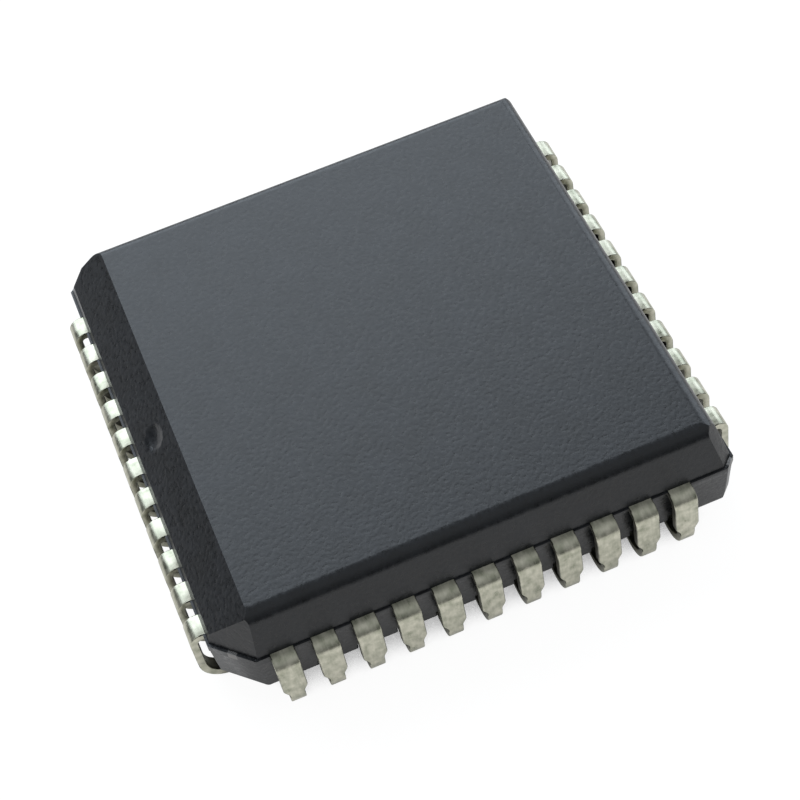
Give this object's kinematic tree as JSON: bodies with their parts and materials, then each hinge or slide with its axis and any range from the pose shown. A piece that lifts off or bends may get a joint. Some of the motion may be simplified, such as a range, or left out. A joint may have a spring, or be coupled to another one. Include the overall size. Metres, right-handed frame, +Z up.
{
  "type": "plastic leaded chip carrier",
  "caption": "Square moulded chip carrier with a bevelled pin-1 side, one cut corner and J-shaped tinned leads on all four sides, curled under into pockets of the underside.",
  "frame": {"origin": "middle of the package on the board's surface, which the lowest line of every lead touches", "axes": "+Z up out of the board, +Y towards the bevelled side with pin 1 in its middle, and the pins count counter-clockwise seen from above, from +Y past the cut corner to -X"},
  "size_m": [0.0176, 0.0176, 0.0044],
  "materials": {
    "mould_compound": "fine matt grain of a moulded epoxy, dark blue-grey",
    "tin_plate": "satin tin plating with fine streaks along each lead",
    "copper_frame": "plain copper-alloy strip",
    "die_adhesive": "cured silver-filled epoxy",
    "silicon": "polished wafer face",
    "gold_wire": "drawn gold wire"
  },
  "bodies": {
    "root": {"body": "mould_compound", "lead_01": "tin_plate", "lead_02": "tin_plate", "lead_03": "tin_plate", "lead_04": "tin_plate", "lead_05": "tin_plate", "lead_06": "tin_plate", "lead_07": "tin_plate", "lead_08": "tin_plate", "lead_09": "tin_plate", "lead_10": "tin_plate", "lead_11": "tin_plate", "lead_12": "tin_plate", "lead_13": "tin_plate", "lead_14": "tin_plate", "lead_15": "tin_plate", "lead_16": "tin_plate", "lead_17": "tin_plate", "lead_18": "tin_plate", "lead_19": "tin_plate", "lead_20": "tin_plate", "lead_21": "tin_plate", "lead_22": "tin_plate", "lead_23": "tin_plate", "lead_24": "tin_plate", "lead_25": "tin_plate", "lead_26": "tin_plate", "lead_27": "tin_plate", "lead_28": "tin_plate", "lead_29": "tin_plate", "lead_30": "tin_plate", "lead_31": "tin_plate", "lead_32": "tin_plate", "lead_33": "tin_plate", "lead_34": "tin_plate", "lead_35": "tin_plate", "lead_36": "tin_plate", "lead_37": "tin_plate", "lead_38": "tin_plate", "lead_39": "tin_plate", "lead_40": "tin_plate", "lead_41": "tin_plate", "lead_42": "tin_plate", "lead_43": "tin_plate", "lead_44": "tin_plate", "die_paddle": "copper_frame", "die_attach": "die_adhesive", "silicon_die": "silicon", "bond_wires": "gold_wire"}
  },
  "joints": []
}
